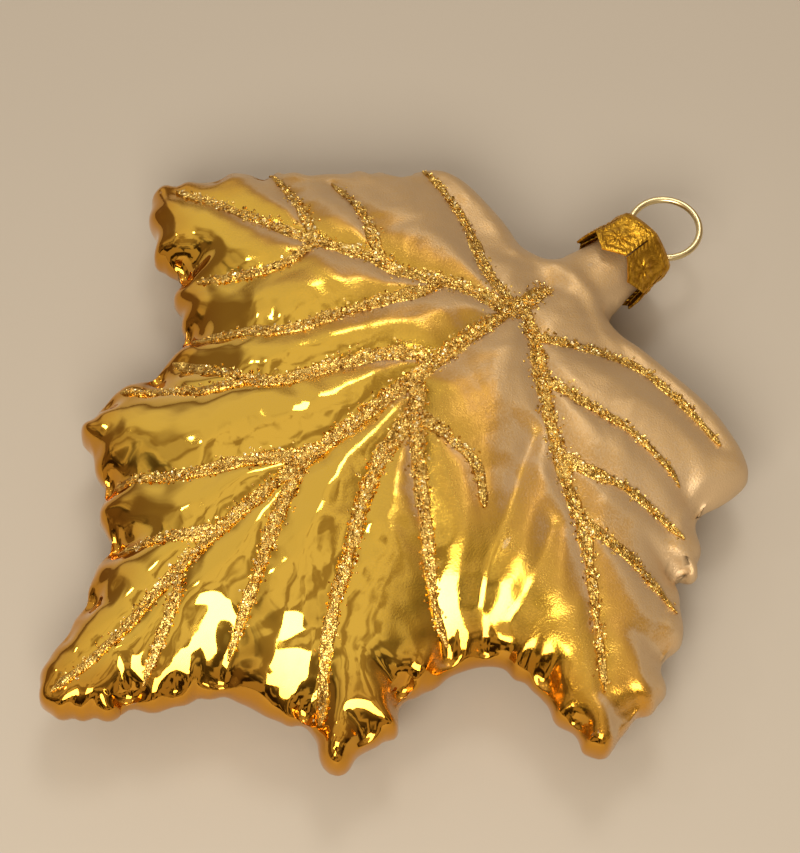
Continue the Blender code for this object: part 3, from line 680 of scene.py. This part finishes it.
# How steep the glass is, which its finish uses for a painted sheen.
mark(glass, "steep", 1 - facing[:, 2])
in_front = corners[:, 2] > SEAM_HEIGHT
mark(glass, "groove", np.clip(groove_depth(plan) / DEEPEST_GROOVE, 0, 1) ** 3 * in_front)
glass.data.materials.append(gilded_glass())
glass.data.shade_smooth()
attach(glass, "root")
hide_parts("glass_leaf")


# The glitter: a line of glue drawn along each vein by hand, thick with flakes of gold, which lie at
# all angles and thin out to single flakes at the veins' ends.
GLUE_HEIGHT = 0.42
ROUTE_STEP = 0.8
GLUE_STEP = 0.5
GLUE_ACROSS = (-1, -0.75, -0.4, 0, 0.4, 0.75, 1)
GLUE_SUNK = 0.3
GLUE_FOOT = 0.8
GLUE_WANDER = 0.35
GLUE_UNEVEN = 0.06
FLAKES_PER_MM2 = 9
FLAKE_SPREAD = 0.34
FLAKE_RADIUS = (0.13, 0.25)
FLAKE_THICKNESS = 0.06
FLAKE_SIDES = 6
FLAKE_SHIFT = 0.25
FLAKE_TILT = 0.42
FLAKE_CLEAR = 0.04
THIN_FROM = 0.7
THIN_OVER = 0.3
THIN_SHARE = 0.8
HIGH_ABOVE = 60
GLITTER_GRAIN = 3300
GLITTER_BROWN = (0.42, 0.23, 0.04, 1)
GLITTER_GOLD = (0.9, 0.62, 0.17, 1)
GLITTER_SPARK = (1, 0.86, 0.5, 1)

chance = np.random.default_rng(7)
skin = BVHTree.FromPolygons([Vector(corner) for corner in corners], faces.tolist())


def drop(x, y):
    """The point of the glass under a place of the plan, and the way the glass faces there."""
    place, facing, _, _ = skin.ray_cast(Vector((x, y, HIGH_ABOVE)), Vector((0, 0, -1)))
    return place, facing


def glitter_metal():
    """Gold with a tint of its own for each flake, from brown to a bright spark."""
    finish = Finish("gold_glitter", Metallic=1.0, Roughness=0.3)
    tint = finish.attribute("tint")
    cell = {"Vector": finish.place, "Scale": GLITTER_GRAIN}
    grain = finish.node("ShaderNodeTexVoronoi", {}, cell, "Distance")
    gold = finish.blend(finish.ramp(tint, 0.0, 0.45), GLITTER_BROWN, GLITTER_GOLD)
    finish.feed("Base Color", finish.blend(finish.ramp(tint, 0.75, 1.0), gold, GLITTER_SPARK))
    finish.feed("Normal", finish.bump(grain, 0.0002, 0.6))
    return finish.material


def glue_line(route, width_at_root, width_at_end):
    """The corners and faces of one closed bead that follows the glass along a vein."""
    route = evenly(smooth_route(route, ROUTE_STEP), GLUE_STEP)
    across = across_route(route)
    place = np.linspace(0, 1, len(route))
    wander = np.convolve(chance.normal(0, GLUE_WANDER, len(route) + 4), np.ones(5) / 5, "valid")
    half = (width_at_root + (width_at_end - width_at_root) * place) / 2 * (1 + wander)
    half *= np.sqrt(np.clip(np.minimum(place, 1 - place) * len(route) / 3, 0.1, 1))
    ring = []
    for share in GLUE_ACROSS:
        plan = route + across * (half * share)[:, None]
        uneven = chance.uniform(-GLUE_UNEVEN, GLUE_UNEVEN, len(route))
        rise = GLUE_HEIGHT * math.sqrt(1 - share**2) + uneven
        ring.append([(x, y, drop(x, y)[0].z + up) for (x, y), up in zip(plan, rise)])
    for share in (1, -1):
        plan = route + across * (half * share * GLUE_FOOT)[:, None]
        ring.append([(x, y, drop(x, y)[0].z - GLUE_SUNK) for x, y in plan])
    sides, steps = len(ring), len(route)
    numbers = np.arange(sides * steps).reshape(sides, steps)
    quads = []
    for side in range(sides):
        low, high = numbers[side], numbers[(side + 1) % sides]
        quads += np.column_stack([low[:-1], low[1:], high[1:], high[:-1]]).tolist()
    quads += [numbers[:, 0].tolist(), numbers[::-1, -1].tolist()]
    return np.array(ring).reshape(-1, 3), quads


def flake_places(route, width_at_root, width_at_end):
    """Where the flakes of one vein lie, and the way the glass faces under each."""
    route = evenly(smooth_route(route, ROUTE_STEP), GLUE_STEP)
    across = across_route(route)
    area = GLUE_STEP * len(route) * (width_at_root + width_at_end) / 2
    found = []
    for place in chance.random(int(FLAKES_PER_MM2 * area)) ** 1.1:
        width = width_at_root + (width_at_end - width_at_root) * place
        aside = chance.normal(0, FLAKE_SPREAD) * width
        bare = THIN_SHARE * smooth_step(THIN_OVER, place - THIN_FROM)
        if abs(aside) > width or chance.random() < bare:
            continue
        index = int(place * (len(route) - 1))
        x, y = route[index] + chance.uniform(-FLAKE_SHIFT, FLAKE_SHIFT, 2) + across[index] * aside
        ground, facing = drop(x, y)
        if ground is None:
            continue
        rise = GLUE_HEIGHT * math.sqrt(max(1 - (2 * aside / width) ** 2, 0)) + FLAKE_CLEAR
        found.append((*(ground + Vector((0, 0, rise))), *facing))
    return found


def flakes(places):
    """The corners and faces of small six-sided plates, tilted every way about the glass."""
    places = np.array(places)
    facing = places[:, 3:] + chance.normal(0, FLAKE_TILT, (len(places), 3))
    facing /= np.linalg.norm(facing, axis=1)[:, None]
    first = np.cross(facing, chance.normal(0, 1, (len(places), 3)))
    first /= np.linalg.norm(first, axis=1)[:, None]
    second = np.cross(facing, first)
    radius = chance.uniform(*FLAKE_RADIUS, len(places))[:, None]
    rings = []
    for lift in (FLAKE_THICKNESS / 2, -FLAKE_THICKNESS / 2):
        for turn in np.arange(FLAKE_SIDES) * 2 * math.pi / FLAKE_SIDES:
            round_it = radius * (first * math.cos(turn) + second * math.sin(turn))
            rings.append(places[:, :3] + round_it + facing * lift)
    corners = np.stack(rings, axis=1)
    top = list(range(FLAKE_SIDES))
    one = [top, [number + FLAKE_SIDES for number in reversed(top)]]
    for number in top:
        after = (number + 1) % FLAKE_SIDES
        one.append([number + FLAKE_SIDES, after + FLAKE_SIDES, after, number])
    faces = []
    for index in range(len(places)):
        base = index * 2 * FLAKE_SIDES
        faces += [[base + number for number in face] for face in one]
    return corners.reshape(-1, 3), faces


glue_corners, glue_faces, places = [], [], []
for _, width_at_root, width_at_end, route in VEINS.values():
    if width_at_root:
        line_corners, line_faces = glue_line(route, width_at_root, width_at_end)
        base = sum(len(line) for line in glue_corners)
        glue_corners.append(line_corners)
        glue_faces += [[number + base for number in face] for face in line_faces]
        places += flake_places(route, width_at_root, width_at_end)
glitter_finish = glitter_metal()
glue = mesh_piece("glitter_glue", np.vstack(glue_corners), glue_faces)
mark(glue, "tint", chance.uniform(0, 0.5, len(glue.data.vertices)))
glitter = [glue]
for name, half in (("glitter_flakes_left", places[::2]), ("glitter_flakes_right", places[1::2])):
    piece = mesh_piece(name, *flakes(half))
    mark(piece, "tint", np.repeat(chance.random(len(half)), 2 * FLAKE_SIDES))
    glitter.append(piece)
for piece in glitter:
    piece.data.materials.append(glitter_finish)
    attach(piece, "root")
    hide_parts("glitter_veins")


# The cap: a crown of thin brass stamped with a flower on each of its six petals, which are slit
# apart and spread a little off the neck. Two holes in its top let the wire through.
PETALS = 6
PETAL_TURN = math.radians(-8.2)
PETAL_BULGE = 0.08
SLIT_HALF_ANGLE = math.radians(1.2)
CROWN_MIDDLE = 22.7
CROWN_TOP = 22.6
CROWN_END = 20.4
CAP_RADIUS = 5.3
CROWN_PROFILE = [
    (0.8, CROWN_MIDDLE), (2.2, CROWN_TOP), (4, CROWN_TOP), (4.8, 22.4), (5.2, 21.8),
    (CAP_RADIUS, CROWN_END),
]
PETAL_CORNER = 16.2
PETAL_TIP = 14.5
PETAL_TIP_RADIUS = 5.9
PETAL_SPREAD = 1.5
CAP_SHEET = 0.28
WIRE_HOLE = 2.4
WIRE_HOLE_OFFSET = 3.25
ACROSS_STEPS = 40
CROWN_STEP = 0.16
PETAL_STEPS = 44
STAMP_CENTRE = 17.6
STAMP_EDGE = 21.6
STAMP_TOP = 22.2
ROPE_HEIGHT = 0.17
ROPE_INSET = 0.5
ROPE_WIDTH = 0.28
ROPE_TWIST = 0.75
FLOWER_HEIGHT = 0.24
FLOWER_RADIUS = 0.95
FLOWER_WIDTH = 0.55
FLOWER_LEAVES = 8
BOSS_HEIGHT = 0.15
BOSS_RADIUS = 0.3
WORN_BRASS = (0.45, 0.22, 0.015, 1)
BRIGHT_BRASS = (0.72, 0.41, 0.04, 1)


def stamped(angle, radius, y):
    """The height of the stamped pattern on a petal: a flower inside a twisted rope."""
    aside = angle * radius
    free = math.pi / PETALS * radius
    slope = (PETAL_CORNER - PETAL_TIP) / free
    below = (y - PETAL_TIP - slope * abs(aside)) / math.hypot(1, slope)
    edge = min(below, free - abs(aside), STAMP_EDGE - y)
    twist = 0.6 + 0.4 * math.sin(2 * math.pi * (aside + y) / ROPE_TWIST)
    rope = math.exp(-(((edge - ROPE_INSET) / ROPE_WIDTH) ** 2)) * twist
    out = math.hypot(aside, y - STAMP_CENTRE)
    turned = math.atan2(aside, y - STAMP_CENTRE)
    leaves = 0.5 + 0.5 * math.cos(FLOWER_LEAVES * turned)
    flower = math.exp(-(((out - FLOWER_RADIUS) / FLOWER_WIDTH) ** 2)) * leaves
    boss = math.exp(-((out / BOSS_RADIUS) ** 2))
    return ROPE_HEIGHT * rope + FLOWER_HEIGHT * flower + BOSS_HEIGHT * boss


def cap_corner(radius, y, angle, petal):
    """A point of the cap, at an angle from the middle of its petal."""
    stamp = stamped(angle, radius, y) if y < STAMP_TOP else 0
    bulged = radius * (1 + PETAL_BULGE * (angle / (math.pi / PETALS)) ** 2) + stamp
    around = PETAL_TURN + petal * 2 * math.pi / PETALS + angle
    place = Vector((NECK_X + bulged * math.sin(around), y, SEAM_HEIGHT + bulged * math.cos(around)))
    return in_frame(place)


def make_cap():
    """A crown with six petals, thickened to a sheet, with the two holes cut through it."""
    net = bmesh.new()
    half = math.pi / PETALS
    shares = np.linspace(-1, 1, ACROSS_STEPS + 1)
    crown = evenly(np.array(CROWN_PROFILE), CROWN_STEP)
    middle = net.verts.new(in_frame((NECK_X, CROWN_MIDDLE, SEAM_HEIGHT)))
    for petal in range(PETALS):
        rows = []
        for radius, y in crown:
            rows.append([net.verts.new(cap_corner(radius, y, share * half, petal)) for share in shares])
        for level in np.linspace(0, 1, PETAL_STEPS + 1)[1:]:
            row = []
            for share in shares:
                end = PETAL_TIP + (PETAL_CORNER - PETAL_TIP) * abs(share)
                y = CROWN_END + (end - CROWN_END) * level
                radius = CAP_RADIUS + (PETAL_TIP_RADIUS - CAP_RADIUS) * level**PETAL_SPREAD
                angle = share * (half - SLIT_HALF_ANGLE)
                row.append(net.verts.new(cap_corner(radius, y, angle, petal)))
            rows.append(row)
        for upper, lower in zip(rows, rows[1:]):
            for index in range(ACROSS_STEPS):
                net.faces.new((upper[index], upper[index + 1], lower[index + 1], lower[index]))
        for index in range(ACROSS_STEPS):
            net.faces.new((middle, rows[0][index + 1], rows[0][index]))
    bmesh.ops.remove_doubles(net, verts=net.verts, dist=0.01 * MM)
    bmesh.ops.recalc_face_normals(net, faces=net.faces)
    mesh = bpy.data.meshes.new("cap_brass")
    net.to_mesh(mesh)
    net.free()
    cap = bpy.data.objects.new("cap_brass", mesh)
    bpy.context.scene.collection.objects.link(cap)
    sheet_metal = cap.modifiers.new("sheet", "SOLIDIFY")
    sheet_metal.thickness = CAP_SHEET * MM
    sheet_metal.offset = -1
    cutters = []
    for side in (-1, 1):
        place = in_frame((NECK_X + side * WIRE_HOLE_OFFSET, CROWN_TOP, SEAM_HEIGHT))
        bpy.ops.mesh.primitive_cylinder_add(
            vertices=32, radius=WIRE_HOLE / 2 * MM, depth=3 * MM, location=place,
            rotation=(math.pi / 2, 0, 0))
        cutters.append(bpy.context.object)
        cut = cap.modifiers.new("wire_hole", "BOOLEAN")
        cut.operation = "DIFFERENCE"
        cut.object = bpy.context.object
    bpy.ops.object.select_all(action="DESELECT")
    cap.select_set(True)
    bpy.context.view_layer.objects.active = cap
    for name in ("sheet", "wire_hole", "wire_hole.001"):
        bpy.ops.object.modifier_apply(modifier=name)
    for cutter in cutters:
        bpy.data.objects.remove(cutter)
    return cap


def stamped_brass():
    finish = Finish("stamped_brass", Metallic=1.0, Roughness=0.36)
    worn = finish.noise(900, 3, 0.6)
    finish.feed("Base Color", finish.blend(finish.ramp(worn, 0.3, 0.7), WORN_BRASS, BRIGHT_BRASS))
    finish.feed("Normal", finish.bump(worn, 0.0003, 0.8))
    return finish.material


cap = make_cap()
cap.data.materials.append(stamped_brass())
bpy.ops.object.shade_smooth_by_angle(angle=math.radians(50))
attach(cap, "root")
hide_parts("cap")


# The hanger: one round brassed wire, whose loop stands on the cap and whose sprung legs go through
# its holes into the neck.
WIRE = 0.95
LOOP_OUTSIDE = 10.7
LOOP_CENTRE = 26.4
LOOP_LOWEST = math.radians(56)
LEG_BEND = (2.5, 20.8)
LEG_KNEE = (2.7, 15.5)
LEG_END = (4.1, 8.5)


def make_hanger():
    """One wire: a leg, the loop and the other leg."""
    radius = (LOOP_OUTSIDE - WIRE) / 2
    turns = np.linspace(-LOOP_LOWEST, math.pi + LOOP_LOWEST, 121)
    loop = [(radius * math.cos(turn), LOOP_CENTRE + radius * math.sin(turn)) for turn in turns]
    leg = smooth_route([loop[0], LEG_BEND, LEG_KNEE, LEG_END], 0.4)[1:]
    route = [tuple(point) for point in leg[::-1]] + loop + [(-x, y) for x, y in leg]
    curve = bpy.data.curves.new("hanger_wire", "CURVE")
    curve.dimensions = "3D"
    curve.bevel_depth = WIRE / 2 * MM
    curve.bevel_resolution = 6
    curve.use_fill_caps = True
    spline = curve.splines.new("POLY")
    spline.points.add(len(route) - 1)
    for point, (x, y) in zip(spline.points, route):
        point.co = (*in_frame((NECK_X + x, y, SEAM_HEIGHT)), 1)
    wire = bpy.data.objects.new("hanger_wire", curve)
    bpy.context.scene.collection.objects.link(wire)
    bpy.ops.object.select_all(action="DESELECT")
    wire.select_set(True)
    bpy.context.view_layer.objects.active = wire
    bpy.ops.object.convert(target="MESH")
    return bpy.context.object


hanger = make_hanger()
pale_brass = Finish("brassed_wire", Base_Color=(0.75, 0.62, 0.34, 1), Metallic=1.0, Roughness=0.28)
hanger.data.materials.append(pale_brass.material)
hanger.data.shade_smooth()
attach(hanger, "root")
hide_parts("hanger")


# The floor is a pale matte board in a room with a bright, cloudy ceiling, a window high on the left
# and a dark, patchy side, where the viewer stands. A spot behind gives the soft shadow, and a lamp
# and a bulb give the highlights.
FLOOR_SIZE = 3
FLOOR_BELOW = 0.0002
FLOOR = (0.5, 0.45, 0.38, 1)
VIEWER_SIDE = (0.754, -0.656, 0.0)
WINDOW_SIDE = (-0.74, 0.22, 0.63)
WINDOW = (0.66, 0.58, 0.49, 1)
CEILING = (0.72, 0.62, 0.5, 1)
CEILING_SHADE = (0.34, 0.25, 0.16, 1)
FAR_WALL = (0.2, 0.13, 0.08, 1)
LIT_WALL = (0.5, 0.38, 0.24, 1)
DARK_WALL = (0.03, 0.018, 0.01, 1)

bpy.ops.mesh.primitive_plane_add(size=FLOOR_SIZE, location=(0, 0, -FLOOR_BELOW))
floor = bpy.context.object
floor.name = "floor"
floor.data.materials.append(Finish("pale_board", Base_Color=FLOOR, Roughness=0.7).material)


def room():
    """The light of the room by direction: dark and patchy low on the viewer's side, bright above."""
    world = bpy.data.worlds.new("room")
    world.use_nodes = True
    around = Nodes(world.node_tree, 0)
    dot = {"operation": "DOT_PRODUCT"}
    to_viewer = around.node("ShaderNodeVectorMath", dot, {0: around.place, 1: VIEWER_SIDE}, 1)
    to_window = around.node("ShaderNodeVectorMath", dot, {0: around.place, 1: WINDOW_SIDE}, 1)
    height = around.node("ShaderNodeSeparateXYZ", {}, {0: around.place}, 2)
    patches = around.noise(2.2)
    clouds = around.noise(3.4)
    side = around.blend(around.ramp(clouds, 0.48, 0.56), DARK_WALL, LIT_WALL)
    walls = around.blend(around.ramp(1.6 * patches + to_viewer, 0.8, 1.2), FAR_WALL, side)
    ceiling = around.blend(around.ramp(clouds, 0.38, 0.56), CEILING_SHADE, CEILING)
    indoors = around.blend(around.ramp(0.5 * patches + height, 0.5, 1.1), walls, ceiling)
    light = around.blend(around.ramp(0.25 * patches + to_window, 0.9, 1.07), indoors, WINDOW)
    around.tree.links.new(light.socket, around.tree.nodes["Background"].inputs["Color"])
    bpy.context.scene.world = world


def soft_light(name, place, size, power, colour):
    """An area lamp turned to the leaf, its sizes in metres and its power in watts."""
    data = bpy.data.lights.new(name, "AREA")
    data.shape = "RECTANGLE"
    data.size, data.size_y = size
    data.energy = power
    data.color = colour
    light = bpy.data.objects.new(name, data)
    bpy.context.scene.collection.objects.link(light)
    light.location = place
    light.rotation_euler = (-Vector(place)).to_track_quat("-Z", "Y").to_euler()


room()
soft_light("lamp", (0.2, -0.24, 0.28), (0.3, 0.2), 1.5, (1, 0.93, 0.82))
soft_light("spot", (-0.3, 0.35, 0.7), (0.24, 0.24), 1.2, (1, 0.95, 0.88))
soft_light("bulb", (-0.5, -0.35, 0.6), (0.06, 0.06), 0.15, (1, 0.97, 0.92))
bpy.context.scene.view_settings.view_transform = "Standard"
